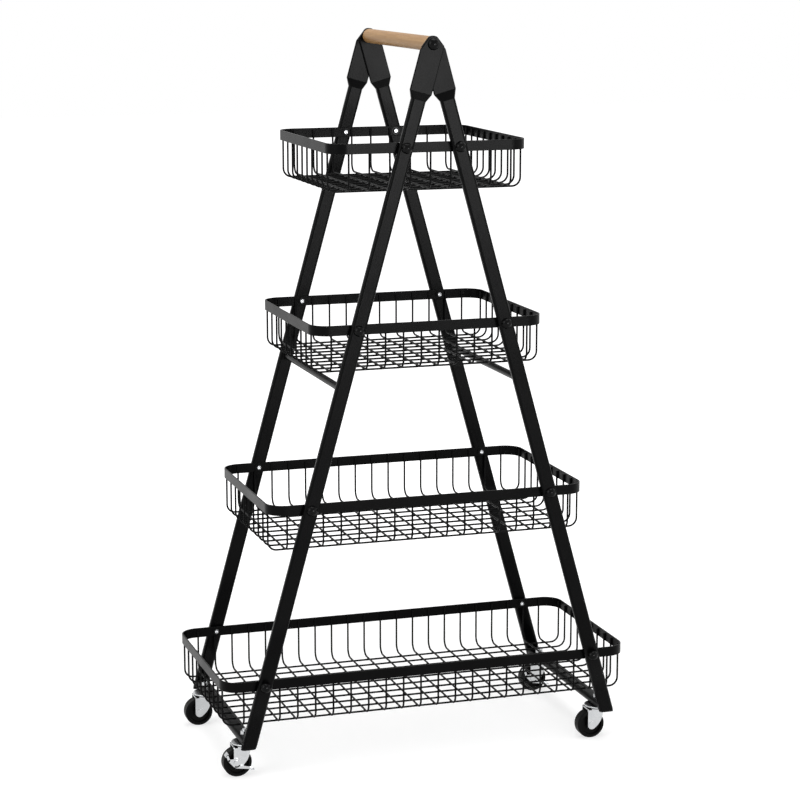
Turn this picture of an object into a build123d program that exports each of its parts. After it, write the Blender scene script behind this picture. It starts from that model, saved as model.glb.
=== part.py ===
"""Four-tier basket cart: two leaning frames, four wire baskets, a dowel handle, four casters.

Lengths are in millimetres and angles in degrees. X runs along the baskets, Y from the front
frame to the rear one, Z is up, and the origin is on the floor under the middle of the cart.
"""

import os
from math import atan2, cos, degrees, radians, sin, tan

from build123d import *

# The two frames: flat oval tube, pressed flat where the legs cross at the handle
handle_height = 989.5
frame_depth = 284.0
foot_height = 45.0
leg_width = 20.0
leg_thickness = 10.0
leg_corner = 4.8
tube_wall = 1.5
tongue_width = 28.5
tongue_thickness = 3.0
tongue_corner = 1.4
tongue_length = 67.0
tongue_rise = 11.0
pinch_length = 11.0

# Plastic caps in the open leg ends
cap_plate = 2.5
cap_plug = 12.0
cap_gap = 0.15

# Tubes from the front frame to the rear frame
brace_height = 534.0
brace_diameter = 10.0

# Handle, its bolts and the threaded inserts in its ends
handle_diameter = 20.0
handle_chamfer = 1.0
handle_bolt_shank = 6.0
handle_bolt_length = 24.0
handle_bolt_head = 16.0
handle_bolt_dome = 6.5
insert_diameter = 10.0
insert_length = 20.0

# Baskets, named from the top down. The bottom rim reaches past its bolts by an overhang, and
# the lean of the legs follows from where these bolts are.
lowest_rim_level = 131.0
tier_pitch = 241.0
top_rim_length = 280.0
second_rim_length = 330.0
third_rim_length = 456.0
bottom_rim_length = 589.0
bottom_overhang = 55.7713
top_cross_wires = 9
second_cross_wires = 12
third_cross_wires = 17
bottom_cross_wires = 22
length_wires = 10
rim_height = 14.0
rim_thickness = 2.0
rim_corner = 26.0
rim_edge = 0.5
basket_depth = 70.0
wire_diameter = 2.7
wire_bend = 18.0
wire_drop = 3.0
weld_gap = 0.02

# Screws, washers and cap nuts that hold the rims to the legs
screw_diameter = 4.0
screw_head = 7.5
screw_head_height = 2.6
recess_length = 4.2
recess_width = 0.9
recess_depth = 1.3
washer_diameter = 11.0
washer_thickness = 1.2
cap_nut_diameter = 15.0
cap_nut_height = 7.2
cap_nut_thread = 5.0

# Casters, drawn on their swivel axis with the wheel trailing to the left
rail_stem_inset = 28.0
wheel_diameter = 40.0
wheel_width = 17.0
tread_round = 2.5
rim_ring = 4.5
hub_diameter = 14.0
hub_width = 18.4
web_thickness = 7.0
caster_trail = 12.0
axle_diameter = 6.0
axle_head = 10.5
axle_head_height = 0.9
fork_sheet = 1.6
fork_bend = 1.2
boss_radius = 6.0
cheek_front = 6.0
cheek_shoulder = 33.0
crown_radius = 16.5
race_radius = 18.5
race_thickness = 2.0
bearing_radius = 15.0
bearing_thickness = 1.4
kingpin_diameter = 8.0
kingpin_head = 12.0
kingpin_head_height = 2.4
stem_diameter = 6.0
stem_nut_flats = 10.0
stem_nut_height = 5.0
stem_end = 3.0

# Brake lever, turning on a stud set off centre on the axle
stud_shift = 3.1
stud_lift = 1.6
stud_diameter = 5.0
stud_head = 8.0
stud_head_height = 1.0
lever_sheet = 1.2
lever_boss = 6.5
lever_tip = 2.2
lip_angle = 131.0
lip_length = 7.0
lip_gap = 0.75
lip_overlap = 7.5
tab_shift = 19.0
tab_drop = 6.0
tab_length = 5.0
tab_width = 6.0

# Clearances
fit_gap = 0.05
hole_gap = 0.25
run_gap = 0.1
side_gap = 0.3

leg_lean = degrees(atan2(bottom_rim_length / 2 - bottom_overhang, handle_height - lowest_rim_level))
lean = radians(leg_lean)
leg_face = (frame_depth - leg_thickness) / 2
rim_face = leg_face - rim_thickness
wire_radius = wire_diameter / 2
tier_lengths = (top_rim_length, second_rim_length, third_rim_length, bottom_rim_length)
tier_cross_wires = (top_cross_wires, second_cross_wires, third_cross_wires, bottom_cross_wires)
sides = {"left": -1, "right": 1}
ends = {"front": -1, "rear": 1}


def leg_offset(level):
    """Distance of a leg's centre line from the middle of the cart at a height."""
    return (handle_height - level) * tan(lean)


def spread(count, span):
    """Evenly spaced places over a span, centred on zero."""
    return [span * (place / (count - 1) - 0.5) for place in range(count)]


def across(level_y):
    """Upright plane facing the front at a depth, with its up direction along Z."""
    return Plane.XZ.offset(-level_y)


def save(piece, name):
    """Name one finished piece and write it."""
    piece.part.label = name
    export_step(piece.part, f"parts/{name}.step")


os.makedirs("parts", exist_ok=True)

# Legs: a tube that is pressed to a flat tongue at the top. The left and right tongues of a
# frame lie on each other, so the press goes to opposite faces of the two tubes.
leg_run = (handle_height - foot_height) / cos(lean) + leg_width
tube_start = tongue_length + pinch_length
tube_inside = leg_width - 2 * tube_wall
tube_hollow = leg_thickness - 2 * tube_wall
tube_inner_corner = leg_corner - tube_wall
tongue_radius = tongue_width / 2
foot_plane = Plane.XY.offset(foot_height)
tube_end_plane = Plane.XY.offset(foot_height + cap_plate)


def leg_axis(side, end):
    """Plane at the handle axis whose normal runs down a leg."""
    return Plane(
        origin=(0, end * frame_depth / 2, handle_height),
        x_dir=(cos(lean), 0, side * sin(lean)),
        z_dir=(side * sin(lean), 0, -cos(lean)),
    )


def leg_holes(side):
    """Places of the four basket bolts on a leg."""
    levels = [lowest_rim_level + tier * tier_pitch for tier in range(len(tier_lengths))]
    return [(side * leg_offset(level), level) for level in levels]


for end_name, end in ends.items():
    for side_name, side in sides.items():
        axis = leg_axis(side, end)
        press = side * end * tongue_thickness / 2
        with BuildPart() as leg:
            with BuildSketch(axis.offset(tube_start)):
                RectangleRounded(leg_width, leg_thickness, leg_corner)
            extrude(amount=leg_run - tube_start)
            with BuildSketch(axis.offset(tube_start)):
                RectangleRounded(leg_width, leg_thickness, leg_corner)
            with BuildSketch(axis.offset(tongue_length)):
                with Locations((0, press)):
                    RectangleRounded(tongue_width, tongue_thickness, tongue_corner)
            loft()
            with BuildSketch(axis.offset(-tongue_width)):
                with Locations((0, press)):
                    RectangleRounded(tongue_width, tongue_thickness, tongue_corner)
            extrude(amount=tongue_width + tongue_length)
            flat = Plane(origin=axis.origin, x_dir=axis.x_dir, z_dir=(0, -1, 0))
            with BuildSketch(flat):
                with Locations((0, tongue_width)):
                    Rectangle(2 * tongue_width, 2 * (tongue_width + tongue_radius - tongue_rise))
                with Locations((0, tongue_rise - tongue_radius)):
                    Circle(tongue_radius, mode=Mode.SUBTRACT)
            extrude(amount=leg_thickness, both=True, mode=Mode.SUBTRACT)
            with BuildSketch(flat):
                Circle(handle_bolt_shank / 2 + hole_gap)
            extrude(amount=leg_thickness, both=True, mode=Mode.SUBTRACT)
            with BuildSketch(axis.offset(tube_start)):
                RectangleRounded(tube_inside, tube_hollow, tube_inner_corner)
            extrude(amount=leg_run, mode=Mode.SUBTRACT)
            with BuildSketch(across(end * frame_depth / 2)):
                with Locations(*leg_holes(side)):
                    Circle(screw_diameter / 2 + hole_gap)
            extrude(amount=leg_thickness, both=True, mode=Mode.SUBTRACT)
            split(bisect_by=tube_end_plane, keep=Keep.TOP)
        save(leg, f"{end_name}_{side_name}_leg")

# End caps: a plate under the cut tube with a plug that grips the inside of the tube
caps = []
for end in ends.values():
    for side in sides.values():
        axis = leg_axis(side, end)
        with BuildPart() as cap:
            with BuildSketch(axis.offset(leg_run - 2 * leg_width)):
                RectangleRounded(leg_width, leg_thickness, leg_corner)
            extrude(amount=2 * leg_width)
            split(bisect_by=tube_end_plane, keep=Keep.BOTTOM)
            with BuildSketch(axis.offset(leg_run - leg_width - cap_plug)):
                RectangleRounded(
                    tube_inside - 2 * cap_gap, tube_hollow - 2 * cap_gap, tube_inner_corner - cap_gap
                )
            extrude(amount=cap_plug + leg_width)
            split(bisect_by=foot_plane, keep=Keep.TOP)
        caps.append(cap.part)
with BuildPart() as leg_end_caps:
    add(caps)
save(leg_end_caps, "leg_end_caps")

# Side braces: round tube welded between the inner faces of a front and a rear leg
for side_name, side in sides.items():
    with BuildPart() as brace:
        with BuildSketch(across(leg_face)):
            with Locations((side * leg_offset(brace_height), brace_height)):
                Circle(brace_diameter / 2)
                Circle(brace_diameter / 2 - tube_wall, mode=Mode.SUBTRACT)
        extrude(amount=2 * leg_face)
    save(brace, f"{side_name}_side_brace")

# Bottom rails: leg tube laid flat on the height of the leg ends, drilled for the caster stems
rail_bottom = foot_height + cap_plate
rail_top = rail_bottom + leg_thickness
rail_middle = rail_bottom + leg_thickness / 2
rail_offset = leg_offset(rail_middle)
stem_depth = frame_depth / 2 - rail_stem_inset
for side_name, side in sides.items():
    with BuildPart() as rail:
        with BuildSketch(across(leg_face)):
            with Locations((side * rail_offset, rail_middle)):
                RectangleRounded(leg_width, leg_thickness, leg_corner)
                RectangleRounded(tube_inside, tube_hollow, tube_inner_corner, mode=Mode.SUBTRACT)
        extrude(amount=2 * leg_face)
        with BuildSketch(Plane.XY.offset(rail_bottom)):
            with Locations((side * rail_offset, stem_depth), (side * rail_offset, -stem_depth)):
                Circle(stem_diameter / 2 + hole_gap)
        extrude(amount=leg_thickness, mode=Mode.SUBTRACT)
    save(rail, f"{side_name}_bottom_rail")

# Handle: a dowel between the inner tongues, bored at both ends for the inserts
handle_end = frame_depth / 2 - tongue_thickness
with BuildPart() as handle:
    with BuildSketch(across(handle_end)):
        with Locations((0, handle_height)):
            Circle(handle_diameter / 2)
    extrude(amount=2 * handle_end)
    chamfer(handle.edges().filter_by(GeomType.CIRCLE), handle_chamfer)
    for plane in (across(-handle_end), across(handle_end - insert_length)):
        with BuildSketch(plane):
            with Locations((0, handle_height)):
                Circle(insert_diameter / 2 + fit_gap)
        extrude(amount=-insert_length, mode=Mode.SUBTRACT)
save(handle, "handle")

with BuildPart() as handle_inserts:
    with BuildSketch(across(-handle_end), across(handle_end - insert_length)):
        with Locations((0, handle_height)):
            Circle(insert_diameter / 2)
            Circle(handle_bolt_shank / 2 + fit_gap, mode=Mode.SUBTRACT)
    extrude(amount=-insert_length)
save(handle_inserts, "handle_inserts")


def dome(seat, radius, height):
    """Domed head on the Y axis, with its flat side at a depth and its crown to the front."""
    with BuildPart() as head:
        with BuildSketch(Plane(origin=(0, seat, 0), x_dir=(1, 0, 0), z_dir=(0, 0, 1))):
            with BuildLine():
                Line((0, 0), (0, -height))
                EllipticalCenterArc((0, 0), radius, height, start_angle=270, arc_size=90)
                Line((radius, 0), (0, 0))
            make_face()
        revolve(axis=Axis.Y)
    return head.part


# Handle bolts: a dome head outside the crossed tongues and a shank into the insert
tongue_face = frame_depth / 2 + tongue_thickness
bolt_dome = dome(-tongue_face, handle_bolt_head / 2, handle_bolt_dome)
with BuildPart() as handle_bolts:
    with Locations((0, 0, handle_height)):
        add(bolt_dome)
    with BuildSketch(across(-tongue_face)):
        with Locations((0, handle_height)):
            Circle(handle_bolt_shank / 2)
    extrude(amount=-handle_bolt_length)
    mirror(about=Plane.XZ)
save(handle_bolts, "handle_bolts")


def bent_wire(plane, half_span, top, bottom):
    """One wire bent to a square U in an upright plane, open at the top."""
    with BuildPart() as wire:
        with BuildLine(plane) as route:
            FilletPolyline(
                (-half_span, top),
                (-half_span, bottom),
                (half_span, bottom),
                (half_span, top),
                radius=wire_bend,
            )
        with BuildSketch(Plane(origin=route.line @ 0, z_dir=route.line % 0)):
            Circle(wire_radius)
        sweep(path=route.line)
    return wire.part


# Basket fasteners, drawn for a front leg on the line of the origin
head_face = rim_face - washer_thickness
nut_face = frame_depth / 2 + leg_thickness / 2
with BuildPart() as screw:
    with BuildSketch(across(-head_face)):
        Circle(screw_head / 2)
    extrude(amount=-screw_head_height)
    fillet(screw.edges().group_by(Axis.Y)[-1], screw_head_height / 2)
    with BuildSketch(across(-head_face)):
        Circle(screw_diameter / 2)
    extrude(amount=nut_face + cap_nut_thread - head_face)
    with BuildSketch(across(screw_head_height - head_face)):
        Rectangle(recess_length, recess_width)
        Rectangle(recess_width, recess_length)
    extrude(amount=recess_depth, mode=Mode.SUBTRACT)
with BuildPart() as washer:
    with BuildSketch(across(-rim_face)):
        Circle(washer_diameter / 2)
        Circle(screw_diameter / 2 + hole_gap, mode=Mode.SUBTRACT)
    extrude(amount=-washer_thickness)
nut_dome = dome(-nut_face, cap_nut_diameter / 2, cap_nut_height)
with BuildPart() as cap_nut:
    add(nut_dome)
    with BuildSketch(across(-nut_face)):
        Circle(screw_diameter / 2 + fit_gap)
    extrude(amount=cap_nut_thread + fit_gap, mode=Mode.SUBTRACT)

# Baskets: a bent flat-bar rim, cross wires below, length wires welded on top of them
wire_face = rim_face - wire_radius - weld_gap
length_span = 2 * (leg_face - rim_corner - wire_radius)
for tier, (rim_length, cross_count) in enumerate(zip(tier_lengths, tier_cross_wires), start=1):
    rim_level = lowest_rim_level + (len(tier_lengths) - tier) * tier_pitch
    rim_top = rim_level + rim_height / 2
    bolt_x = leg_offset(rim_level)
    bolt_places = [(side * bolt_x, 0, rim_level) for side in sides.values()]
    with BuildPart() as rim:
        with BuildSketch(Plane.XY.offset(rim_top - rim_height)):
            RectangleRounded(rim_length, 2 * leg_face, rim_corner)
            RectangleRounded(
                rim_length - 2 * rim_thickness,
                2 * rim_face,
                rim_corner - rim_thickness,
                mode=Mode.SUBTRACT,
            )
        extrude(amount=rim_height)
        fillet(rim.edges().group_by(Axis.Z)[0] + rim.edges().group_by(Axis.Z)[-1], rim_edge)
        with BuildSketch(Plane.XZ):
            with Locations(*[(side * bolt_x, rim_level) for side in sides.values()]):
                Circle(screw_diameter / 2 + hole_gap)
        extrude(amount=leg_face, both=True, mode=Mode.SUBTRACT)
    save(rim, f"tier_{tier}_rim")

    # A cross wire in line with a washer ends under it; every other one ends near the rim's top
    wire_top = rim_top - wire_drop
    wire_bottom = rim_top - basket_depth + wire_radius
    short_top = rim_level - washer_diameter / 2 - side_gap
    washer_reach = washer_diameter / 2 + wire_radius + weld_gap
    cross_places = spread(cross_count, rim_length - 2 * (rim_corner + wire_radius))
    blocked = [(x, 0, 0) for x in cross_places if abs(abs(x) - bolt_x) <= washer_reach]
    free = [(x, 0, 0) for x in cross_places if abs(abs(x) - bolt_x) > washer_reach]
    free_wire = bent_wire(Plane.YZ, wire_face, wire_top, wire_bottom)
    blocked_wire = bent_wire(Plane.YZ, wire_face, short_top, wire_bottom)
    with BuildPart() as cross_wires:
        with Locations(*free):
            add(free_wire)
        if blocked:
            with Locations(*blocked):
                add(blocked_wire)
    save(cross_wires, f"tier_{tier}_cross_wires")

    long_face = rim_length / 2 - rim_thickness - wire_radius - weld_gap
    long_bottom = wire_bottom + wire_diameter + weld_gap
    long_wire = bent_wire(Plane.XZ, long_face, wire_top, long_bottom)
    with BuildPart() as long_wires:
        with Locations(*[(0, y, 0) for y in spread(length_wires, length_span)]):
            add(long_wire)
    save(long_wires, f"tier_{tier}_length_wires")

    for piece, name in ((screw, "screws"), (washer, "washers"), (cap_nut, "cap_nuts")):
        with BuildPart() as fasteners:
            with Locations(*bolt_places):
                add(piece.part)
            mirror(about=Plane.XZ)
        save(fasteners, f"tier_{tier}_{name}")

# Casters: the stack under the rail from the race down to the peened end of the kingpin
race_bottom = rail_bottom - race_thickness
bearing_bottom = race_bottom - run_gap - bearing_thickness
crown_bottom = bearing_bottom - run_gap - fork_sheet
kingpin_top = crown_bottom - run_gap
kingpin_end = kingpin_top - kingpin_head_height
stem_top = rail_top + stem_nut_height + stem_end
with BuildPart() as caster_stem:
    with BuildSketch(Plane.XY.offset(kingpin_end)):
        Circle(kingpin_head / 2)
    extrude(amount=kingpin_head_height)
    with BuildSketch(Plane.XY.offset(kingpin_end)):
        Circle(kingpin_diameter / 2)
    extrude(amount=rail_bottom - kingpin_end)
    with BuildSketch(Plane.XY.offset(race_bottom)):
        Circle(race_radius)
    extrude(amount=race_thickness)
    fillet(caster_stem.edges().filter_by(GeomType.CIRCLE).group_by(SortBy.LENGTH)[-1], fork_sheet / 3)
    with BuildSketch(Plane.XY.offset(rail_bottom)):
        Circle(stem_diameter / 2)
    extrude(amount=stem_top - rail_bottom)

with BuildPart() as bearing_ring:
    with BuildSketch(Plane.XY.offset(bearing_bottom)):
        Circle(bearing_radius)
        Circle(kingpin_diameter / 2 + run_gap, mode=Mode.SUBTRACT)
    extrude(amount=bearing_thickness)

with BuildPart() as stem_nut:
    with BuildSketch(Plane.XY.offset(rail_top)):
        RegularPolygon(stem_nut_flats / 2, 6, major_radius=False)
        Circle(stem_diameter / 2 + fit_gap, mode=Mode.SUBTRACT)
    extrude(amount=stem_nut_height)

# Fork: a round crown with two cheeks bent down, each running to a round boss at the axle
axle_level = wheel_diameter / 2
cheek_inner = hub_width / 2 + side_gap
cheek_outer = cheek_inner + fork_sheet
fork_back = caster_trail + boss_radius
boss_bottom = axle_level - boss_radius
with BuildPart() as caster_fork:
    with BuildSketch(Plane.XY.offset(crown_bottom)):
        Circle(crown_radius)
        with Locations((-fork_back / 2, 0)):
            Rectangle(fork_back, 2 * cheek_outer)
    extrude(amount=fork_sheet)
    with BuildSketch(across(-cheek_inner), across(cheek_outer)):
        with BuildLine():
            Polyline(
                (cheek_front, cheek_shoulder),
                (cheek_front, crown_bottom + fork_sheet),
                (-fork_back, crown_bottom + fork_sheet),
                (-fork_back, axle_level),
            )
            RadiusArc((-fork_back, axle_level), (-caster_trail, boss_bottom), boss_radius)
            EllipticalCenterArc(
                (-caster_trail, cheek_shoulder),
                caster_trail + cheek_front,
                cheek_shoulder - boss_bottom,
                start_angle=270,
                arc_size=90,
            )
        make_face()
    extrude(amount=fork_sheet)
    with BuildSketch(Plane.XY.offset(crown_bottom)):
        Circle(kingpin_diameter / 2 + run_gap)
    extrude(amount=fork_sheet, mode=Mode.SUBTRACT)
    with BuildSketch(Plane.XZ):
        with Locations((-caster_trail, axle_level)):
            Circle(axle_diameter / 2 + fit_gap)
    extrude(amount=cheek_outer, both=True, mode=Mode.SUBTRACT)

# Wheel: a plastic tyre, web and hub in one, turned about the axle
tread_radius = wheel_diameter / 2
wheel_plane = Plane(origin=(-caster_trail, 0, axle_level), x_dir=(0, 1, 0), z_dir=(1, 0, 0))
with BuildPart() as caster_wheel:
    with BuildSketch(wheel_plane) as profile:
        with Locations((0, tread_radius - rim_ring / 2)):
            Rectangle(wheel_width, rim_ring)
        fillet(profile.vertices().group_by(Axis.Y)[-1], tread_round)
        with Locations((0, tread_radius / 2)):
            Rectangle(web_thickness, tread_radius - rim_ring)
        with Locations((0, hub_diameter / 4)):
            Rectangle(hub_width, hub_diameter / 2)
        with Locations((0, 0)):
            Rectangle(hub_width, axle_diameter + 2 * run_gap, mode=Mode.SUBTRACT)
    revolve(axis=Axis((-caster_trail, 0, axle_level), (0, 1, 0)))

# Axle: a rivet through both cheeks. On a braked caster its front head carries the stud on
# which the lever turns, set off centre so that the lip comes nearer to the tread.
axle_point = (-caster_trail, axle_level)
stud_point = (-caster_trail - stud_shift, axle_level + stud_lift)
head_seat = cheek_outer + fit_gap
lever_inner = head_seat + axle_head_height + side_gap
lever_outer = lever_inner + lever_sheet
with BuildPart() as plain_axle:
    with BuildSketch(across(head_seat)):
        with Locations(axle_point):
            Circle(axle_diameter / 2)
    extrude(amount=2 * head_seat)
    with BuildSketch(across(-head_seat), across(head_seat + axle_head_height)):
        with Locations(axle_point):
            Circle(axle_head / 2)
    extrude(amount=axle_head_height)
with BuildPart() as braked_axle:
    add(plain_axle.part)
    with BuildSketch(across(-head_seat - axle_head_height)):
        with Locations(stud_point):
            Circle(stud_diameter / 2)
    extrude(amount=lever_outer + run_gap - head_seat - axle_head_height)
    with BuildSketch(across(-lever_outer - run_gap)):
        with Locations(stud_point):
            Circle(stud_head / 2)
    extrude(amount=stud_head_height)

# Brake lever: a stamped boomerang with a lip bent in over the tread and a foot tab bent out
lip_radius = tread_radius + lip_gap + lever_sheet / 2
lip_turn = radians(lip_angle)
lip_point = (axle_point[0] + lip_radius * cos(lip_turn), axle_point[1] + lip_radius * sin(lip_turn))
tab_point = (axle_point[0] + tab_shift, axle_point[1] - tab_drop)
tab_turn = degrees(atan2(-tab_drop - stud_lift, tab_shift + stud_shift))
with BuildPart() as brake_lever:
    for tip_point in (lip_point, tab_point):
        with BuildSketch(across(-lever_inner)):
            with Locations(stud_point):
                Circle(lever_boss)
            with Locations(tip_point):
                Circle(lever_tip)
            make_hull()
        extrude(amount=lever_sheet)
    with BuildSketch(across(lip_overlap - cheek_outer)):
        with Locations(Location((*lip_point, 0), (0, 0, lip_angle + 90))):
            Rectangle(lip_length, lever_sheet)
    extrude(amount=lever_outer + lip_overlap - cheek_outer)
    with BuildSketch(across(-lever_inner)):
        with Locations(Location((*tab_point, 0), (0, 0, tab_turn))):
            Rectangle(tab_length, lever_sheet)
    extrude(amount=lever_sheet + tab_width)
    with BuildSketch(across(-lever_inner)):
        with Locations(stud_point):
            Circle(stud_diameter / 2 + run_gap)
    extrude(amount=lever_sheet, mode=Mode.SUBTRACT)

# The four casters stand under the rails; the front left and rear right ones have brakes
caster_places = {
    f"{end_name}_{side_name}": (side * rail_offset, end * stem_depth, 0)
    for end_name, end in ends.items()
    for side_name, side in sides.items()
}
braked = ("front_left", "rear_right")
for place_name, place in caster_places.items():
    axle_shape = braked_axle if place_name in braked else plain_axle
    shapes = {"stem": caster_stem, "fork": caster_fork, "wheel": caster_wheel, "axle": axle_shape}
    if place_name in braked:
        shapes["brake"] = brake_lever
    for piece_name, shape in shapes.items():
        with BuildPart() as caster_piece:
            with Locations(place):
                add(shape.part)
        save(caster_piece, f"{place_name}_{piece_name}")

for shape, name in ((bearing_ring, "swivel_rings"), (stem_nut, "stem_nuts")):
    with BuildPart() as shared:
        with Locations(*caster_places.values()):
            add(shape.part)
    save(shared, name)
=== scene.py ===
from math import radians

import bpy
import numpy as np
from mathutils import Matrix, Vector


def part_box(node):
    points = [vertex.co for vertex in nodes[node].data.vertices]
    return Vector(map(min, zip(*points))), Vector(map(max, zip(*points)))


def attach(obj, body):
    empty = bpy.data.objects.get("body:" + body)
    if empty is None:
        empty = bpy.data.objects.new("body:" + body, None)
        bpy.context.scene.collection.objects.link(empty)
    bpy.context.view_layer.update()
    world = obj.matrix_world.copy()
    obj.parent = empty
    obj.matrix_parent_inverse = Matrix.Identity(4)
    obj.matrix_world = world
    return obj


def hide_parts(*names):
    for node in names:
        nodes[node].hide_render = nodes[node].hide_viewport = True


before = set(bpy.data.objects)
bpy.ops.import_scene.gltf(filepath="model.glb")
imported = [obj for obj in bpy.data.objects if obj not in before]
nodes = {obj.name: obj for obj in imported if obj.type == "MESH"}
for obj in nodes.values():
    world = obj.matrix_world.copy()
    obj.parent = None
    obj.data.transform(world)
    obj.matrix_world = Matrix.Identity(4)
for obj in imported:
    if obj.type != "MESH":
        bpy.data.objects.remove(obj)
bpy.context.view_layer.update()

# Studio camera: a long lens a little higher than the handle, in front and to the left. Its
# place and its turn were worked out from the lines of the frame in the photograph.
studio_camera = bpy.data.objects.new("studio_camera", bpy.data.cameras.new("studio_camera"))
studio_camera.data.sensor_width = 36.0
studio_camera.data.lens = 107.06
studio_camera.data.clip_end = 60.0
studio_camera.location = (-1.02041, -3.13563, 1.12782)
studio_camera.rotation_euler = (radians(78.987), radians(0.037), radians(-18.04))
bpy.context.scene.collection.objects.link(studio_camera)
bpy.context.scene.camera = studio_camera
bpy.context.scene.view_settings.view_transform = "Standard"


# Studio floor: a wide sheet of pale paper under the wheels. The lens and the bright metal see
# it as white, fading to pure white away from the cart, and it keeps the cart's soft shadow.
def new_material(name):
    """An empty node material with its output and one principled shader, joined."""
    material = bpy.data.materials.new(name)
    material.use_nodes = True
    tree = material.node_tree
    tree.nodes.clear()
    output = tree.nodes.new("ShaderNodeOutputMaterial")
    shader = tree.nodes.new("ShaderNodeBsdfPrincipled")
    tree.links.new(shader.outputs["BSDF"], output.inputs["Surface"])
    return material, tree, shader


def joined(tree, kind, inputs, **settings):
    """A new node of a kind, with its settings, and its inputs set or linked by name."""
    node = tree.nodes.new(kind)
    for key, value in settings.items():
        setattr(node, key, value)
    for key, value in inputs.items():
        if isinstance(value, bpy.types.NodeSocket):
            tree.links.new(value, node.inputs[key])
        else:
            node.inputs[key].default_value = value
    return node


floor_half = 12.0
floor_mesh = bpy.data.meshes.new("studio_floor")
floor_corners = np.array([(-1, -1, 0), (1, -1, 0), (1, 1, 0), (-1, 1, 0)]) * floor_half
floor_mesh.from_pydata(floor_corners.tolist(), [], [(0, 1, 2, 3)])
studio_floor = bpy.data.objects.new("studio_floor", floor_mesh)
bpy.context.scene.collection.objects.link(studio_floor)
paper, paper_tree, paper_shader = new_material("pale_paper")
paper_shader.inputs["Base Color"].default_value = (0.5, 0.5, 0.5, 1)
paper_shader.inputs["Roughness"].default_value = 0.9
paper_shader.inputs["Specular IOR Level"].default_value = 0.0


def seen_directly(tree):
    """1 for rays from the lens and for rays off shiny or clear surfaces, else 0."""
    path = joined(tree, "ShaderNodeLightPath", {})
    seen = path.outputs["Is Camera Ray"]
    for other in ("Is Glossy Ray", "Is Transmission Ray"):
        either = {0: seen, 1: path.outputs[other]}
        seen = joined(tree, "ShaderNodeMath", either, operation="MAXIMUM").outputs[0]
    return seen


paper_place = joined(paper_tree, "ShaderNodeTexCoord", {})
paper_reach = joined(
    paper_tree, "ShaderNodeVectorMath", {0: paper_place.outputs["Object"]}, operation="LENGTH"
)
paper_fade = joined(paper_tree, "ShaderNodeMapRange", {
    "Value": paper_reach.outputs["Value"],
    "From Min": 0.45, "From Max": 1.3, "To Min": 0.62, "To Max": 1.0,
})
paper_white = joined(
    paper_tree,
    "ShaderNodeMath",
    {0: seen_directly(paper_tree), 1: paper_fade.outputs[0]},
    operation="MULTIPLY",
)
paper_shader.inputs["Emission Color"].default_value = (1, 1, 1, 1)
paper_tree.links.new(paper_white.outputs[0], paper_shader.inputs["Emission Strength"])
floor_mesh.materials.append(paper)

# Studio room: white where the lens or bright metal sees it, and elsewhere a soft light that is
# brighter overhead than near the floor.
room = bpy.data.worlds.new("studio_room")
bpy.context.scene.world = room
room.use_nodes = True
room_tree = room.node_tree
room_tree.nodes.clear()
room_output = joined(room_tree, "ShaderNodeOutputWorld", {})
room_place = joined(room_tree, "ShaderNodeTexCoord", {})
room_up = joined(room_tree, "ShaderNodeSeparateXYZ", {0: room_place.outputs["Generated"]})
room_ramp = joined(room_tree, "ShaderNodeMapRange", {
    "Value": room_up.outputs["Z"],
    "From Min": -0.2, "From Max": 0.9, "To Min": 0.05, "To Max": 0.60,
})
room_fill = joined(room_tree, "ShaderNodeBackground", {
    "Color": (1, 1, 1, 1), "Strength": room_ramp.outputs[0],
})
room_white = joined(room_tree, "ShaderNodeBackground", {"Color": (1, 1, 1, 1), "Strength": 1.0})
room_mix = joined(room_tree, "ShaderNodeMixShader", {
    0: seen_directly(room_tree), 1: room_fill.outputs[0], 2: room_white.outputs[0],
})
room_tree.links.new(room_mix.outputs[0], room_output.inputs["Surface"])


# Studio lamps: soft boxes high on the left and overhead, a weak one on the right, and one in
# front, whose reflection lightens the upper half of the frames. A narrow strip in front puts a
# glint on the domed fasteners.
def soft_box(name, place, target, width, height, watts):
    """A rectangular lamp at a place, turned so that its face looks at the target."""
    lamp = bpy.data.lights.new(name, "AREA")
    lamp.shape = "RECTANGLE"
    lamp.size = width
    lamp.size_y = height
    lamp.energy = watts
    stand = bpy.data.objects.new(name, lamp)
    stand.location = place
    towards = np.array(target, float) - np.array(place, float)
    flat = np.hypot(towards[0], towards[1])
    stand.rotation_euler = (np.arctan2(flat, -towards[2]), 0, np.arctan2(-towards[0], towards[1]))
    bpy.context.scene.collection.objects.link(stand)
    return stand


soft_box("left_soft_box", (-2.6, -0.9, 1.9), (0, 0, 0.6), 1.6, 2.2, 38)
soft_box("top_soft_box", (0.2, 0.1, 3.2), (0, 0, 0.5), 2.2, 1.6, 38)
soft_box("right_soft_box", (2.8, -1.6, 1.6), (0, 0, 0.6), 1.2, 1.8, 10)
soft_box("front_soft_box", (1.05, -3.2, 0.88), (0, 0, 0.8), 1.5, 0.9, 46)
soft_box("front_strip", (0.28, -3.2, 0.62), (0, 0, 0.62), 0.16, 0.5, 12)


# Legs: flat oval steel tube with the top pressed to a tongue, coated all over with satin
# black powder that is baked on. The same coat is on the braces and the bottom rails.
def two_tone(tree, factor, deep, pale):
    """The colour that runs from one tone to the other as the factor goes from 0 to 1."""
    mix = joined(tree, "ShaderNodeMix", {0: factor, 6: deep, 7: pale}, data_type="RGBA")
    return mix.outputs[2]


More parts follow.
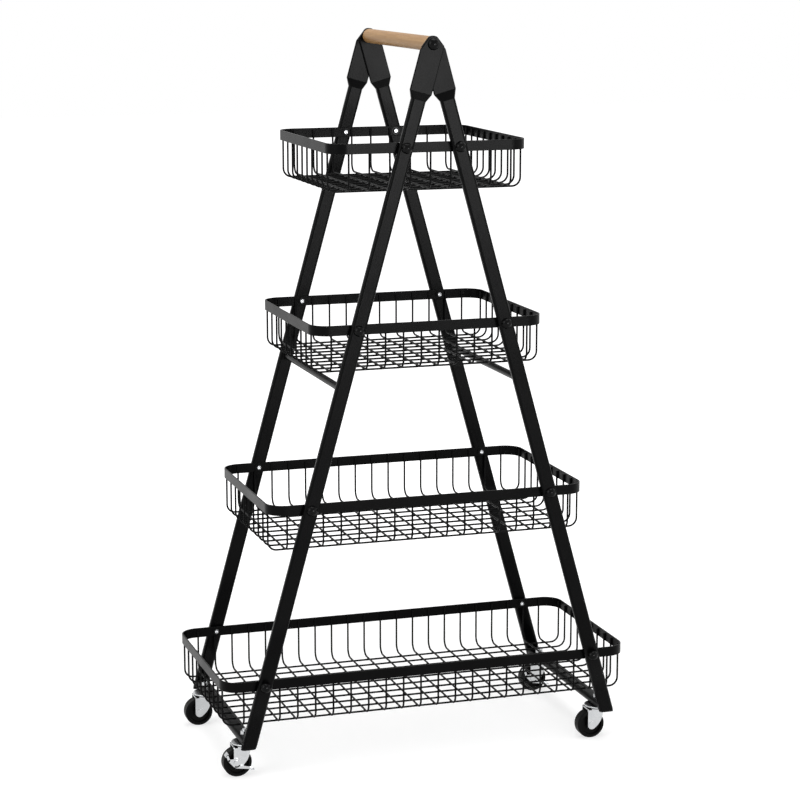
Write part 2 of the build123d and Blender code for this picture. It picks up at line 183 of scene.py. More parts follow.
def powder_coat(name, deep, worn, rough, shine=0.05):
    """Black powder coat. A broad noise moves the colour between two near-black tones and the
    gloss by a tenth; a fine noise is the orange-peel skin of the baked powder."""
    material, tree, shader = new_material(name)
    place = joined(tree, "ShaderNodeTexCoord", {})
    clouds = joined(tree, "ShaderNodeTexNoise", {
        "Vector": place.outputs["Object"], "Scale": 14.0, "Detail": 5.0, "Roughness": 0.6,
    })
    tree.links.new(two_tone(tree, clouds.outputs["Fac"], deep, worn), shader.inputs["Base Color"])
    gloss = joined(tree, "ShaderNodeMapRange", {
        "Value": clouds.outputs["Fac"], "From Min": 0.3, "From Max": 0.7,
        "To Min": rough - 0.05, "To Max": rough + 0.05,
    })
    tree.links.new(gloss.outputs[0], shader.inputs["Roughness"])
    peel = joined(tree, "ShaderNodeTexNoise", {
        "Vector": place.outputs["Object"], "Scale": 900.0, "Detail": 2.0, "Roughness": 0.5,
    })
    skin = joined(tree, "ShaderNodeBump", {
        "Height": peel.outputs["Fac"], "Strength": 0.12, "Distance": 0.0004,
    })
    tree.links.new(skin.outputs["Normal"], shader.inputs["Normal"])
    shader.inputs["Specular IOR Level"].default_value = shine
    return material


def finish_nodes(material, *names):
    """Gives one material to every slot of the named CAD nodes."""
    for name in names:
        mesh = nodes[name].data
        if not mesh.materials:
            mesh.materials.append(material)
        for place in range(len(mesh.materials)):
            mesh.materials[place] = material


deep_black = (0.001, 0.001, 0.0011, 1)
worn_black = (0.0022, 0.0022, 0.0023, 1)
coat_rough = 0.28
tube_coat = powder_coat("tube_powder_coat", deep_black, worn_black, coat_rough)
finish_nodes(tube_coat, "front_left_leg", "front_right_leg", "rear_left_leg", "rear_right_leg")
finish_nodes(tube_coat, "left_side_brace", "right_side_brace")
finish_nodes(tube_coat, "left_bottom_rail", "right_bottom_rail")


def new_piece(name, points, faces, material, body, smooth=True):
    """Puts points and faces into one mesh piece that rides on a body."""
    mesh = bpy.data.meshes.new(name)
    mesh.from_pydata(points.tolist(), [], faces)
    mesh.polygons.foreach_set("use_smooth", np.full(len(mesh.polygons), smooth))
    mesh.materials.append(material)
    piece = bpy.data.objects.new(name, mesh)
    bpy.context.scene.collection.objects.link(piece)
    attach(piece, body)
    return piece


def ring_faces(rings, around, first=0):
    """Quads that join each ring of points to the next one, and the last ring to the first."""
    ring, turn = np.meshgrid(np.arange(rings), np.arange(around), indexing="ij")
    ahead, beside = (ring + 1) % rings, (turn + 1) % around
    corners = ((ring, turn), (ahead, turn), (ahead, beside), (ring, beside))
    quads = np.stack([first + row * around + place for row, place in corners], -1)
    return quads.reshape(-1, 4).tolist()


def open_faces(rings, around, first=0):
    """Quads that join each ring of points to the next one, with both ends left open."""
    return ring_faces(rings, around, first)[: (rings - 1) * around]


def turned(faces):
    """The same faces, seen from the other side."""
    return [face[::-1] for face in faces]


# The form of a leg: the solid's tongue is a little narrow and its tip too round, so the whole
# leg is drawn again here, with the tongue's wider strip and the blunt tip of the photograph.
leg_lean = radians(15.54)
handle_axis = 0.9895
frame_plane = 0.142
leg_foot = 0.0475
tongue_start = 0.065
tube_start = 0.076
crease = 0.0005
tongue_section = np.array((0.0315, 0.003, 0.0012))  # width, depth, corner
tube_section = np.array((0.0203, 0.010, 0.0035))
press_shift = 0.0015
corner_lead = 0.0003
tip_top = 1.0005
tip_flat = 0.00109
tip_shoulder = 0.007
shoulder_drop = 0.00269
flank_start = 0.0045
flank_angle = radians(52)
tip_rows = np.linspace(-0.0146, 0.022, 40)
least_row = 0.0004


def tip_half(drop):
    """Half the width of the tip at a drop below its top: a short flat, a shoulder arc of 7 mm,
    then a straight flank at 52 degrees."""
    rest = tip_shoulder - np.clip(drop, 0, tip_shoulder)
    arc = tip_flat + np.sqrt(np.maximum(0, tip_shoulder**2 - rest**2))
    flank = flank_start + drop / np.tan(flank_angle)
    return np.where(drop < 0, -1, np.where(drop < shoulder_drop, arc, flank))


def row_outline(low, high, depth, corner):
    """A rounded rectangle from low to high and to half the depth on either side. Each corner is
    a quarter circle in five points, with one more point on the straight edge at each end."""
    corner = min(corner, (high - low) / 2)
    wide_lead, deep_lead = (
        min(corner_lead, 0.4 * (size / 2 - corner)) for size in (high - low, depth)
    )
    right, left, face = high - corner, low + corner, depth / 2 - corner
    corners = []
    for turn, (x, y) in enumerate(((right, face), (left, face), (left, -face), (right, -face))):
        angle = turn * np.pi / 2 + np.linspace(0, np.pi / 2, 5)
        bend = np.stack([x + corner * np.cos(angle), y + corner * np.sin(angle)], -1)
        heading = np.stack([-np.sin(angle), np.cos(angle)], -1)
        leads = (wide_lead, deep_lead) if turn % 2 else (deep_lead, wide_lead)
        before, after = bend[0] - leads[0] * heading[0], bend[-1] + leads[1] * heading[-1]
        corners.append(np.vstack([before, bend, after]))
    return np.vstack(corners)


def leg_rows(side, end):
    """Points and faces of a leg in rows square to its axis. At distance d down the axis a row
    is a rounded rectangle whose width and depth go from the tongue's to the tube's over the
    pinch; in the tongue it is cut where it would pass the tip's outline."""
    along = np.array((side * np.sin(leg_lean), 0, -np.cos(leg_lean)))
    across = np.array((np.cos(leg_lean), 0, side * np.sin(leg_lean)))
    middle = np.array((0, end * frame_plane, handle_axis))
    outer = np.array((0, -side * end, 0))
    reach = (handle_axis - leg_foot) / np.cos(leg_lean)
    edges = np.array((-crease, 0, crease))
    straight = np.linspace(0.1, reach, 6)
    rows = []
    for down in np.concatenate([tip_rows, tongue_start + edges, tube_start + edges, straight]):
        pinch = np.clip((down - tongue_start) / (tube_start - tongue_start), 0, 1)
        width, depth, corner = tongue_section + pinch * (tube_section - tongue_section)
        spots = np.linspace(-width / 2, width / 2, 600)
        line = middle + down * along + spots[:, None] * across
        if down < tongue_start:
            spots = spots[np.abs(line[:, 0]) <= tip_half(tip_top - line[:, 2])]
        low, high = (spots[0], spots[-1]) if len(spots) > 1 else (0.0, 0.0)
        flat = row_outline(low, high, depth, corner)
        lift = flat[:, 1:] + (1 - pinch) * press_shift
        rows.append(middle + down * along + flat[:, :1] * across + lift * outer)
    rows = [row for row in rows if np.ptp(row[:, 0]) > least_row]
    foot_drop = (rows[-1][:, 2:] - leg_foot) / np.cos(leg_lean)
    rows[-1] = rows[-1] + foot_drop * along
    count, around = len(rows), len(rows[0])
    top, foot = list(range(around)), list(range((count - 1) * around, count * around))
    faces = turned(open_faces(count, around)) + [top[::-1], foot]
    if np.dot(np.cross(across, outer), along) < 0:
        faces = turned(faces)
    return np.vstack(rows), faces


for end_name, end in (("front", -1), ("rear", 1)):
    for side_name, side in (("left", -1), ("right", 1)):
        leg_name = f"{end_name}_{side_name}_leg"
        points, faces = leg_rows(side, end)
        leg = new_piece(f"{leg_name}_form", points, faces, tube_coat, "frame")
        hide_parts(leg_name)


# Frame welds: a bead runs round each end of a brace where it meets a leg, and a short bead
# lies on the top of each rail end. The powder coat covers them.
bead_steps, bead_sides = 96, 10
bead_radius = 0.0011
bead_ripples = 17
bead_stand = 0.0002
bead_inset = 0.0003
rail_weld = (0.0055, 0.0014, 0.0010)
rail_weld_inset = 0.0004


def weld_bead(centre, radius, bead, ripples):
    """Points of a rippled ring weld in the XZ plane. At turn u the bead's middle lies at
    radius R on the circle, and its own round section swells as 1 + 0.1 sin(n u)."""
    turn, section = np.meshgrid(
        np.linspace(0, 2 * np.pi, bead_steps, endpoint=False),
        np.linspace(0, 2 * np.pi, bead_sides, endpoint=False),
        indexing="ij",
    )
    swell = bead * (1 + 0.1 * np.sin(ripples * turn))
    reach = radius + swell * np.cos(section)
    points = np.stack([reach * np.cos(turn), swell * np.sin(section), reach * np.sin(turn)], -1)
    return points.reshape(-1, 3) + np.array(centre)


def weld_pools(centres, half_sizes):
    """Points and faces of small ellipsoids. At turn u and drop v a pool lies at its centre plus
    (a sin v cos u, b sin v sin u, c cos v)."""
    around = 8
    turns = np.linspace(0, 2 * np.pi, around, endpoint=False)
    drops = np.linspace(0, np.pi, 5)[1:-1, None]
    rings = np.stack([
        np.sin(drops) * np.cos(turns), np.sin(drops) * np.sin(turns), np.cos(drops) + 0 * turns
    ], -1).reshape(-1, 3)
    unit = np.vstack([[(0, 0, 1)], rings, [(0, 0, -1)]])
    points = (centres[:, None, :] + unit[None] * half_sizes[:, None, :]).reshape(-1, 3)
    here = np.arange(around)
    beside = (here + 1) % around
    top = np.stack([0 * here, 1 + here, 1 + beside], -1)
    last = 1 + 2 * around
    bottom = np.stack([0 * here + last + around, last + beside, last + here], -1)
    sides = np.concatenate([
        np.stack([1 + here, 1 + around + here, 1 + around + beside, 1 + beside], -1) + step
        for step in (0, around)
    ])
    starts = (np.arange(len(centres)) * len(unit))[:, None, None]
    triangles = (starts + np.concatenate([top, bottom])).reshape(-1, 3)
    quads = (starts + sides).reshape(-1, 4)
    return points, triangles.tolist() + quads.tolist()


for side_name in ("left", "right"):
    low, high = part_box(f"{side_name}_side_brace")
    middle = (low + high) / 2
    bead_reach = (high.z - low.z) / 2 + bead_stand
    rings = np.vstack([
        weld_bead((middle.x, y, middle.z), bead_reach, bead_radius, bead_ripples)
        for y in (low.y + bead_inset, high.y - bead_inset)
    ])
    faces = turned(
        ring_faces(bead_steps, bead_sides)
        + ring_faces(bead_steps, bead_sides, bead_steps * bead_sides)
    )
    new_piece(f"{side_name}_brace_welds", rings, faces, tube_coat, "frame")

    low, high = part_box(f"{side_name}_bottom_rail")
    rail_x = (low.x + high.x) / 2
    rail_ends = (low.y + rail_weld_inset, high.y - rail_weld_inset)
    spots = np.array([(rail_x, y, high.z) for y in rail_ends])
    points, faces = weld_pools(spots, np.tile(rail_weld, (2, 1)))
    new_piece(f"{side_name}_rail_welds", points, faces, tube_coat, "frame")


# Leg end caps: black polyethylene plugs pushed into the cut tubes, with a dull moulded skin.
def moulded_plastic(name, deep, pale, rough, shine=0.05):
    """Moulded plastic. Two noises, one broad and one as fine as spark-eroded mould steel,
    move the colour a little and give the skin its dull grain."""
    material, tree, shader = new_material(name)
    place = joined(tree, "ShaderNodeTexCoord", {})
    broad = joined(tree, "ShaderNodeTexNoise", {
        "Vector": place.outputs["Object"], "Scale": 60.0, "Detail": 4.0,
    })
    tree.links.new(two_tone(tree, broad.outputs["Fac"], deep, pale), shader.inputs["Base Color"])
    gloss = joined(tree, "ShaderNodeMapRange", {
        "Value": broad.outputs["Fac"], "To Min": rough - 0.06, "To Max": rough + 0.06,
    })
    tree.links.new(gloss.outputs[0], shader.inputs["Roughness"])
    grain = joined(tree, "ShaderNodeTexNoise", {
        "Vector": place.outputs["Object"], "Scale": 2400.0, "Detail": 1.0,
    })
    skin = joined(tree, "ShaderNodeBump", {
        "Height": grain.outputs["Fac"], "Strength": 0.15, "Distance": 0.0002,
    })
    tree.links.new(skin.outputs["Normal"], shader.inputs["Normal"])
    shader.inputs["Specular IOR Level"].default_value = shine
    return material


plastic_black = (0.003, 0.003, 0.003, 1)
plastic_grey = (0.006, 0.006, 0.006, 1)
cap_plastic = moulded_plastic("cap_plastic", plastic_black, plastic_grey, 0.50)
finish_nodes(cap_plastic, "leg_end_caps", "swivel_rings")


# Handle: a beech dowel, sanded and clear lacquered, clamped between the tongues of the legs.
def lacquered_beech(name):
    """Beech along Y. A noise that is stretched along the dowel makes the growth rings and a
    finer one the pores, which also move the gloss; a thin clear coat lies on top."""
    material, tree, shader = new_material(name)
    place = joined(tree, "ShaderNodeTexCoord", {})
    along = joined(tree, "ShaderNodeMapping", {"Vector": place.outputs["Object"]})
    along.inputs["Location"].default_value = (0.013, 0.0, -0.97)
    along.inputs["Scale"].default_value = (1.0, 0.055, 1.0)
    rings = joined(tree, "ShaderNodeTexNoise", {
        "Vector": along.outputs[0],
        "Scale": 150.0, "Detail": 3.0, "Roughness": 0.55, "Distortion": 0.6,
    })
    ring_tone = joined(tree, "ShaderNodeValToRGB", {"Fac": rings.outputs["Fac"]})
    ring_tone.color_ramp.elements[0].position = 0.30
    ring_tone.color_ramp.elements[0].color = (0.29, 0.145, 0.05, 1)
    ring_tone.color_ramp.elements[1].position = 0.72
    ring_tone.color_ramp.elements[1].color = (0.47, 0.28, 0.115, 1)
    pores = joined(tree, "ShaderNodeTexNoise", {
        "Vector": along.outputs[0], "Scale": 1300.0, "Detail": 2.0, "Roughness": 0.6,
    })
    pore_mask = joined(tree, "ShaderNodeMapRange", {
        "Value": pores.outputs["Fac"],
        "From Min": 0.56, "From Max": 0.74, "To Min": 0.0, "To Max": 0.45,
    })
    pore_tone = (0.22, 0.105, 0.038, 1)
    wood = two_tone(tree, pore_mask.outputs[0], ring_tone.outputs["Color"], pore_tone)
    tree.links.new(wood, shader.inputs["Base Color"])
    gloss = joined(tree, "ShaderNodeMapRange", {
        "Value": pores.outputs["Fac"], "To Min": 0.38, "To Max": 0.52,
    })
    tree.links.new(gloss.outputs[0], shader.inputs["Roughness"])
    shader.inputs["Specular IOR Level"].default_value = 0.2
    shader.inputs["Coat Weight"].default_value = 0.08
    shader.inputs["Coat Roughness"].default_value = 0.28
    skin = joined(tree, "ShaderNodeBump", {
        "Height": pores.outputs["Fac"], "Strength": 0.1, "Distance": 0.0002,
    })
    tree.links.new(skin.outputs["Normal"], shader.inputs["Normal"])
    return material


finish_nodes(lacquered_beech("lacquered_beech"), "handle")

# Handle inserts: turned brass in the ends of the dowel. They take the broad and the fine noise
# of the plastic, as metal.
brass_deep = (0.55, 0.38, 0.14, 1)
brass_pale = (0.66, 0.48, 0.2, 1)
turned_brass = moulded_plastic("turned_brass", brass_deep, brass_pale, 0.35)
turned_brass.node_tree.nodes["Principled BSDF"].inputs["Metallic"].default_value = 1.0
finish_nodes(turned_brass, "handle_inserts")

# Handle bolts: dome-headed steel with a smooth black finish. The basket's cap nuts and washers
# have it too.
bolt_deep = (0.0015, 0.0015, 0.0016, 1)
bolt_worn = (0.003, 0.003, 0.0032, 1)
black_finish = powder_coat("black_fastener_finish", bolt_deep, bolt_worn, 0.12, 0.08)
finish_nodes(black_finish, "handle_bolts")

# Baskets: a flat-bar rim with bent wires welded inside it, coated after welding. On the wires
# the coat is a little duller.
wire_deep = (0.0012, 0.0012, 0.0013, 1)
wire_worn = (0.0026, 0.0026, 0.0028, 1)
rim_coat = powder_coat("rim_powder_coat", deep_black, worn_black, coat_rough, 0.047)
wire_coat = powder_coat("wire_powder_coat", wire_deep, wire_worn, 0.38)
tiers = (1, 2, 3, 4)
for tier in tiers:
    finish_nodes(rim_coat, f"tier_{tier}_rim")
    finish_nodes(wire_coat, f"tier_{tier}_cross_wires", f"tier_{tier}_length_wires")
    finish_nodes(black_finish, f"tier_{tier}_cap_nuts", f"tier_{tier}_washers")

# Basket wires: the solids' floors hang 3 mm lower and their bends are wide, so the wires are
# drawn again here as round sweeps with tight bends, the cross wires lying on the length wires.
# For each basket the counts and the pitches are given.
wire_radius = 0.00135
wire_bend = 0.012
wire_drop = 0.003
basket_depth = 0.067
cross_wires = {1: (9, 0.0285), 2: (12, 0.02535), 3: (17, 0.02535), 4: (22, 0.02535)}
length_wires = {1: (10, 0.02455), 2: (10, 0.0253), 3: (10, 0.0253), 4: (10, 0.0253)}
rim_thickness = 0.002
rim_gap = 0.00002
screw_head_radius = 0.00375
washer_radius = 0.0055
washer_gap = 0.0003
end_weld_drop = 0.001
crossing_weld = (0.0018, 0.0018, 0.0008)
cross_end_weld = (0.0016, 0.0007, 0.0042)
long_end_weld = (0.0007, 0.0016, 0.0042)


def even_places(count, pitch):
    """Places at a pitch, centred on zero."""
    return pitch * (np.arange(count) - (count - 1) / 2)


def bent_wires(places, tops, half_span, bottom, spread_axis):
    """Points and faces of U-shaped wires. A route goes down a line, round a quarter circle,
    along the floor, round a second quarter circle and up; at each of its steps a ring of
    the wire's radius stands square to it."""
    bend = np.linspace(0, np.pi / 2, 9)
    sine, cosine = np.sin(bend), np.cos(bend)
    left, level = wire_bend - half_span, bottom + wire_bend
    first_bend, second_bend = left - wire_bend * cosine, wire_bend * sine - left
    along = np.concatenate([[-half_span], first_bend, second_bend, [half_span]])
    inward = np.concatenate([[1], cosine, -sine, [-1]])
    upward = np.concatenate([[0], sine, cosine, [0]])
    around = 12
    turn = np.linspace(0, 2 * np.pi, around, endpoint=False)
    count = len(along)
    points, faces = [], []
    for place, top in zip(places, tops):
        falling, rising = level - wire_bend * sine, level - wire_bend * cosine
        height = np.concatenate([[top], falling, rising, [top]])
        run = along[:, None] + wire_radius * inward[:, None] * np.cos(turn)
        rise = height[:, None] + wire_radius * upward[:, None] * np.cos(turn)
        if spread_axis == 0:
            ring = np.stack([place - wire_radius * np.sin(turn) + 0 * run, run, rise], -1)
        else:
            ring = np.stack([run, place + wire_radius * np.sin(turn) + 0 * run, rise], -1)
        first = len(points) * count * around
        last = first + count * around
        start_disc, end_disc = list(range(first, first + around)), list(range(last - around, last))
        faces += open_faces(count, around, first) + [start_disc, end_disc[::-1]]
        points.append(ring.reshape(-1, 3))
    return np.vstack(points), faces


def grid(xs, ys, level):
    """All places with one of the given x and one of the given y, at a level."""
    return np.stack(np.meshgrid(xs, ys, [level], indexing="ij"), -1).reshape(-1, 3)


for tier in tiers:
    rim_low, rim_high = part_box(f"tier_{tier}_rim")
    bolt_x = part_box(f"tier_{tier}_screws")[1].x - screw_head_radius
    rim_wall = rim_thickness + wire_radius + rim_gap
    wire_face, long_face = rim_high.y - rim_wall, rim_high.x - rim_wall
    long_bottom = rim_high.z - basket_depth + wire_radius
    cross_bottom = long_bottom + 2 * wire_radius
    rim_level = (rim_low.z + rim_high.z) / 2
    xs, ys = even_places(*cross_wires[tier]), even_places(*length_wires[tier])
    full_top = rim_high.z - wire_drop
    under_washer = np.abs(np.abs(xs) - bolt_x) <= washer_radius + wire_radius
    cross_tops = np.where(under_washer, rim_level - washer_radius - washer_gap, full_top)
    cross_name, long_name = f"tier_{tier}_cross_wires", f"tier_{tier}_length_wires"
    points, faces = bent_wires(xs, cross_tops, wire_face, cross_bottom, 0)
    crossing = new_piece(f"{cross_name}_form", points, faces, wire_coat, "frame")
    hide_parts(cross_name)
    points, faces = bent_wires(ys, np.full(len(ys), full_top), long_face, long_bottom, 1)
    lengthwise = new_piece(f"{long_name}_form", points, faces, wire_coat, "frame")
    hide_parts(long_name)

    # Basket welds: each cross wire is spot welded to every length wire under it, and each wire
    # end to the inside of the rim. The pools are small and coated with the wires.
    rim_y, rim_x = wire_face + wire_radius, long_face + wire_radius
    end_level = rim_level - end_weld_drop
    crossings = grid(xs, ys, long_bottom + wire_radius)
    cross_ends = grid(xs[~under_washer], [-rim_y, rim_y], end_level)
    long_ends = grid([-rim_x, rim_x], ys, end_level)
    welds = (crossings, crossing_weld), (cross_ends, cross_end_weld), (long_ends, long_end_weld)
    points, faces = weld_pools(
        np.vstack([spots for spots, size in welds]),
        np.vstack([np.tile(size, (len(spots), 1)) for spots, size in welds]),
    )
    new_piece(f"tier_{tier}_welds", points, faces, wire_coat, "frame")


# Screws, stem nuts, caster stems, forks, axles and levers: steel with a bright zinc plate. On
# the screws' heads a painted shade darkens the plate towards the edge, so only a small bright spot
# stays in the middle.
def zinc_plate(name, deep, bright, rough):
    """Bright zinc on steel. A broad noise clouds the colour, and a fine stretched one, the
    drawing of the sheet, moves the gloss and the skin."""
    material, tree, shader = new_material(name)
    place = joined(tree, "ShaderNodeTexCoord", {})
    clouds = joined(tree, "ShaderNodeTexNoise", {
        "Vector": place.outputs["Object"], "Scale": 90.0, "Detail": 4.0, "Roughness": 0.6,
    })
    tree.links.new(two_tone(tree, clouds.outputs["Fac"], deep, bright), shader.inputs["Base Color"])
    shader.inputs["Metallic"].default_value = 1.0
    drawn = joined(tree, "ShaderNodeMapping", {"Vector": place.outputs["Object"]})
    drawn.inputs["Scale"].default_value = (1.0, 1.0, 0.12)
    lines = joined(tree, "ShaderNodeTexNoise", {
        "Vector": drawn.outputs[0], "Scale": 1500.0, "Detail": 2.0,
    })
    gloss = joined(tree, "ShaderNodeMapRange", {
        "Value": lines.outputs["Fac"], "To Min": rough - 0.08, "To Max": rough + 0.1,
    })
    tree.links.new(gloss.outputs[0], shader.inputs["Roughness"])
    skin = joined(tree, "ShaderNodeBump", {
        "Height": lines.outputs["Fac"], "Strength": 0.06, "Distance": 0.0002,
    })
    tree.links.new(skin.outputs["Normal"], shader.inputs["Normal"])
    return material


zinc_deep = (0.46, 0.47, 0.48, 1)
zinc_bright = (0.62, 0.63, 0.64, 1)
zinc_rough = 0.2
# Painted shade: the near-black tone that the screw heads' zinc is painted towards their edge.
head_painted_shade = (0.03, 0.03, 0.032, 1)
zinc = zinc_plate("bright_zinc", zinc_deep, zinc_bright, zinc_rough)


def zinc_with_painted_head_shade(name, across, level):
    """The zinc plate on pan heads that face along Y at plus and minus one place across and at one
    level. By the distance from the nearer head's middle a painted shade darkens the plate to a
    dark edge. It stands for the dome's slopes that turn away from the light, and leaves a bright
    middle."""
    material = zinc_plate(name, zinc_deep, zinc_bright, zinc_rough)
    tree = material.node_tree
    shader = tree.nodes["Principled BSDF"]
    plate = shader.inputs["Base Color"].links[0].from_socket
    place = joined(tree, "ShaderNodeTexCoord", {})
    spot = joined(tree, "ShaderNodeSeparateXYZ", {0: place.outputs["Object"]})
    x = joined(tree, "ShaderNodeMath", {0: spot.outputs["X"]}, operation="ABSOLUTE").outputs[0]
    x_off = joined(tree, "ShaderNodeMath", {0: x, 1: across}, operation="SUBTRACT")
    z_off = joined(tree, "ShaderNodeMath", {0: spot.outputs["Z"], 1: level}, operation="SUBTRACT")
    offset = joined(tree, "ShaderNodeCombineXYZ", {"X": x_off.outputs[0], "Y": z_off.outputs[0]})
    reach = joined(tree, "ShaderNodeVectorMath", {0: offset.outputs[0]}, operation="LENGTH")
    # Painted shade: from 1.6 to 3 mm out from a head's middle the plate turns to the dark tone.
    edge = joined(tree, "ShaderNodeMapRange", {
        "Value": reach.outputs["Value"], "From Min": 0.0016, "From Max": 0.0030,
    })
    tone = two_tone(tree, edge.outputs[0], plate, head_painted_shade)
    tree.links.new(tone, shader.inputs["Base Color"])
    return material


# Each tier's screw heads get the zinc with its painted shade at the edge.
for tier in tiers:
    low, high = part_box(f"tier_{tier}_screws")
    level = (low.z + high.z) / 2
    screw_zinc_painted_shade = zinc_with_painted_head_shade(f"tier_{tier}_screw_zinc_painted_shade", high.x - screw_head_radius, level)
    finish_nodes(screw_zinc_painted_shade, f"tier_{tier}_screws")
finish_nodes(zinc, "stem_nuts")
casters = ("front_left", "front_right", "rear_left", "rear_right")
braked = ("front_left", "rear_right")
for caster in casters:
    finish_nodes(zinc, f"{caster}_stem", f"{caster}_fork", f"{caster}_axle")
for caster in braked:
    finish_nodes(zinc, f"{caster}_brake")


# Forks: the solid's cheeks are broad plates, so a slimmer fork is drawn here. The front edge of a
# cheek is an arc that runs into the round boss at the axle, and a pressed rib stiffens its back.
axle_shift = -0.012
axle_level = 0.020
boss_radius = 0.0063
cheek_front = 0.0047
cheek_belly = 0.029
crown_radius = 0.0165
cheek_inner, cheek_outer, rib_outer = 0.0095, 0.0111, 0.0116
rib_front = 0.0019
fork_sheet = 0.0016
kingpin_hole = 0.0041


def arc_points(middle, radius, start, stop, steps):
    """Points of an arc in the XZ plane, from one angle to another in degrees."""
    angle = np.radians(np.linspace(start, stop, steps))
    return np.stack([middle[0] + radius * np.cos(angle), middle[1] + radius * np.sin(angle)], -1)


def upright_plate(outline, near, far, middle):
    """Points and faces of a flat plate: an outline in the XZ plane, given anticlockwise seen from
    the front, that is drawn out from depth near to depth far, about the middle of a caster."""
    count = len(outline)
    points = np.vstack([
        np.stack([outline[:, 0], np.full(count, depth), outline[:, 1]], -1) for depth in (near, far)
    ]) + np.array((middle[0], middle[1], 0))
    front, back = list(range(count)), list(range(count, 2 * count))
    return points, [front] + open_faces(2, count) + [back[::-1]]


def crown_plate(low, high, back, middle):
    """Points and faces of the crown: round in front and square behind, with the kingpin's hole.
    At turn u it reaches from the hole to the larger of the round and the square."""
    turn = np.linspace(0, 2 * np.pi, 120, endpoint=False)
    with np.errstate(divide="ignore"):
        square = np.minimum(back / np.abs(np.cos(turn)), cheek_outer / np.abs(np.sin(turn)))
    reach = np.where(np.cos(turn) < 0, np.maximum(crown_radius, square), crown_radius)
    loops = [(kingpin_hole, low), (reach, low), (reach, high), (kingpin_hole, high)]
    points = np.stack([
        np.stack([middle[0] + r * np.cos(turn), middle[1] + r * np.sin(turn), z + 0 * turn], -1)
        for r, z in loops
    ], 1)
    return points.reshape(-1, 3), ring_faces(len(turn), len(loops))


def gathered(shapes):
    """The points and faces of several closed shapes as one set."""
    first, points, faces = 0, [], []
    for shape_points, shape_faces in shapes:
        points.append(shape_points)
        faces += [[first + corner for corner in face] for face in shape_faces]
        first += len(shape_points)
    return np.vstack(points), faces


def swivel_middle(caster):
    """Place of a caster's kingpin, seen from above."""
    low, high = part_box(f"{caster}_stem")
    return (low.x + high.x) / 2, (low.y + high.y) / 2


axle = (axle_shift, axle_level)
back = boss_radius - axle_shift
belly_x = cheek_front - cheek_belly
belly_z = axle_level + np.sqrt((cheek_belly - boss_radius) ** 2 - (belly_x - axle_shift) ** 2)
meet = np.degrees(np.arctan2(axle_level - belly_z, axle_shift - belly_x))
rib_edge = np.degrees(np.arccos(rib_front / boss_radius))
for caster in casters:
    swivel = swivel_middle(caster)
    crown_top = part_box(f"{caster}_fork")[1].z
    crown_low = crown_top - fork_sheet
    cheek = np.vstack([
        [(-back, crown_top)],
        arc_points(axle, boss_radius, 180, 360 + meet, 14),
        arc_points((belly_x, belly_z), cheek_belly, meet, 0, 12)[1:],
        [(cheek_front, crown_top)],
    ])
    rib = np.vstack([
        [(-back, crown_low)],
        arc_points(axle, boss_radius, 180, 360 + rib_edge, 26),
        [(axle_shift + rib_front, crown_low)],
    ])
    points, faces = gathered([
        crown_plate(crown_low, crown_top, back, swivel),
        upright_plate(cheek, -cheek_outer, -cheek_inner, swivel),
        upright_plate(cheek, cheek_inner, cheek_outer, swivel),
        upright_plate(rib, -rib_outer, -cheek_outer, swivel),
        upright_plate(rib, cheek_outer, rib_outer, swivel),
    ])
    body = f"{caster}_swivel"
    fork = new_piece(f"{caster}_fork_form", points, faces, zinc, body, smooth=False)
    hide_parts(f"{caster}_fork")


# Brake levers: a stamped leaf on the axle's stud, with a pointed nose that turns in over the
# tread and a foot tab that turns out. The solid's lever is plainer.
def limb(wide, wide_radius, tip, tip_radius):
    """Outline round two circles and their common tangents, anticlockwise."""
    run = np.subtract(tip, wide)
    heading = np.degrees(np.arctan2(run[1], run[0]))
    spread = np.degrees(np.arccos((wide_radius - tip_radius) / np.hypot(*run)))
    return np.vstack([
        arc_points(tip, tip_radius, heading - spread, heading + spread, 8),
        arc_points(wide, wide_radius, heading + spread, heading + 360 - spread, 20),
    ])


def bent_edge(middle, angle, length, thick):
    """Outline of a thin bar about a point, turned by an angle in degrees."""
    corners = np.array([(-1, -1), (1, -1), (1, 1), (-1, 1)]) * (length / 2, thick / 2)
    sine, cosine = np.sin(radians(angle)), np.cos(radians(angle))
    return np.array(middle) + corners @ np.array([(cosine, sine), (-sine, cosine)])


lever_near, lever_far = -0.01355, -0.01235
lip_end, tab_end = -0.0036, -0.01955
lip_reach, lip_turn = 0.0214, 140
lip_length, tab_length, edge_thick = 0.0060, 0.005, 0.0012
leaf_radius, root_radius, tip_radius = 0.0064, 0.0026, 0.0015
knee_radius = 0.00151
stud = (axle_shift - 0.0031, axle_level + 0.0016)
knee = (axle_shift - 0.0135, axle_level + 0.0060)
root = (stud[0], stud[1] - 0.0048)
tab = (axle_shift + 0.018, axle_level - 0.0074)
tab_turn = np.degrees(np.arctan2(tab[1] - root[1], tab[0] - root[0]))
lip = tuple(arc_points(axle, lip_reach, lip_turn, lip_turn, 1)[0])
leaf_limbs = (
    limb(stud, leaf_radius, knee, tip_radius),
    limb(knee, knee_radius, lip, tip_radius),
    limb(root, root_radius, tab, tip_radius),
)
lip_edge = bent_edge(lip, lip_turn + 90, lip_length, edge_thick)
tab_edge = bent_edge(tab, tab_turn, tab_length, edge_thick)
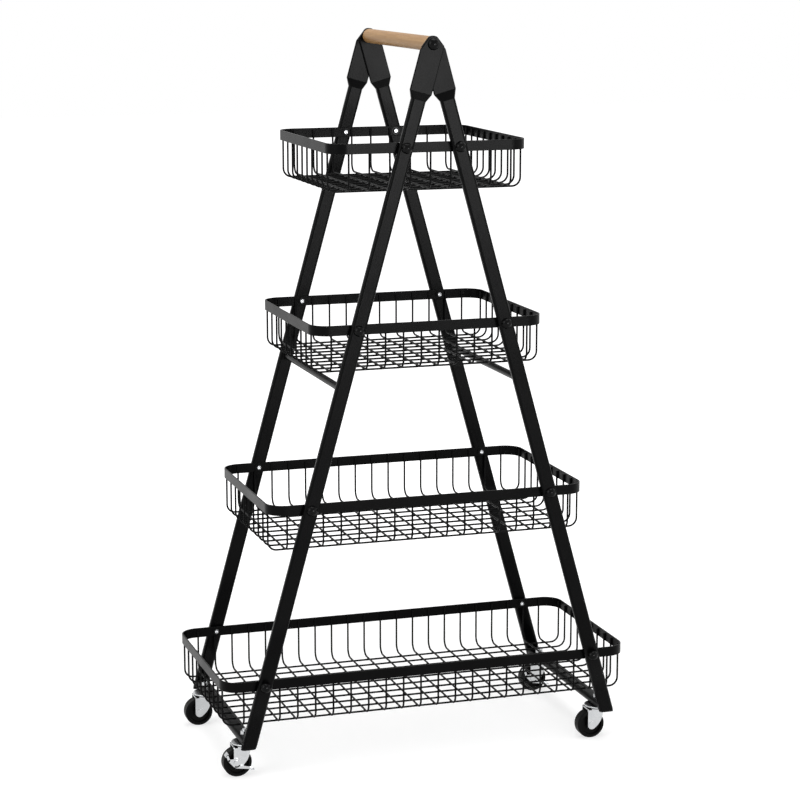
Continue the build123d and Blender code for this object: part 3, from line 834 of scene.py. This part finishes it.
for caster in braked:
    swivel = swivel_middle(caster)
    points, faces = gathered(
        [upright_plate(outline, lever_near, lever_far, swivel) for outline in leaf_limbs]
        + [upright_plate(lip_edge, lever_near, lip_end, swivel)]
        + [upright_plate(tab_edge, tab_end, lever_far, swivel)]
    )
    body = f"{caster}_lever"
    lever = new_piece(f"{caster}_brake_form", points, faces, zinc, body, smooth=False)
    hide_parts(f"{caster}_brake")


# Stem threads: the end of each caster's threaded stem stands a little out of its nut on top
# of the bottom rail.
thread_root, thread_depth, thread_pitch = 0.00302, 0.00012, 0.001
thread_hidden, thread_stand = 0.0005, 0.0001
thread_chamfer, chamfer_slope = 0.0005, 0.9


def thread_sleeve(middle, low, high, root, depth, pitch):
    """Points of a screw thread about a vertical line. At turn u and height w the radius is the
    root plus depth times (1 + cos(2 pi w / pitch - u)) / 2, less a chamfer near the top."""
    around, steps = 40, 26
    turns, rises = np.linspace(0, 2 * np.pi, around, endpoint=False), np.linspace(low, high, steps)
    turn, rise = np.meshgrid(turns, rises, indexing="xy")
    reach = root + depth * (1 + np.cos(2 * np.pi * rise / pitch - turn)) / 2
    past = np.maximum(0, rise - (high - thread_chamfer))
    reach = np.minimum(reach, root + depth - chamfer_slope * past)
    x, y = middle[0] + reach * np.cos(turn), middle[1] + reach * np.sin(turn)
    points = np.stack([x, y, rise], -1)
    lid = list(range((steps - 1) * around, steps * around))
    foot = list(range(around))
    return points.reshape(-1, 3), turned(open_faces(steps, around)) + [lid, foot[::-1]]


thread_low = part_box("stem_nuts")[1].z - thread_hidden
for caster in casters:
    thread_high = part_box(f"{caster}_stem")[1].z + thread_stand
    points, faces = thread_sleeve(
        swivel_middle(caster), thread_low, thread_high, thread_root, thread_depth, thread_pitch
    )
    new_piece(f"{caster}_stem_thread", points, faces, zinc, "frame")

# Wheels: black moulded plastic, hub and tread in one piece.
wheel_plastic = moulded_plastic("wheel_plastic", plastic_black, plastic_grey, 0.42)
for caster in casters:
    finish_nodes(wheel_plastic, f"{caster}_wheel")
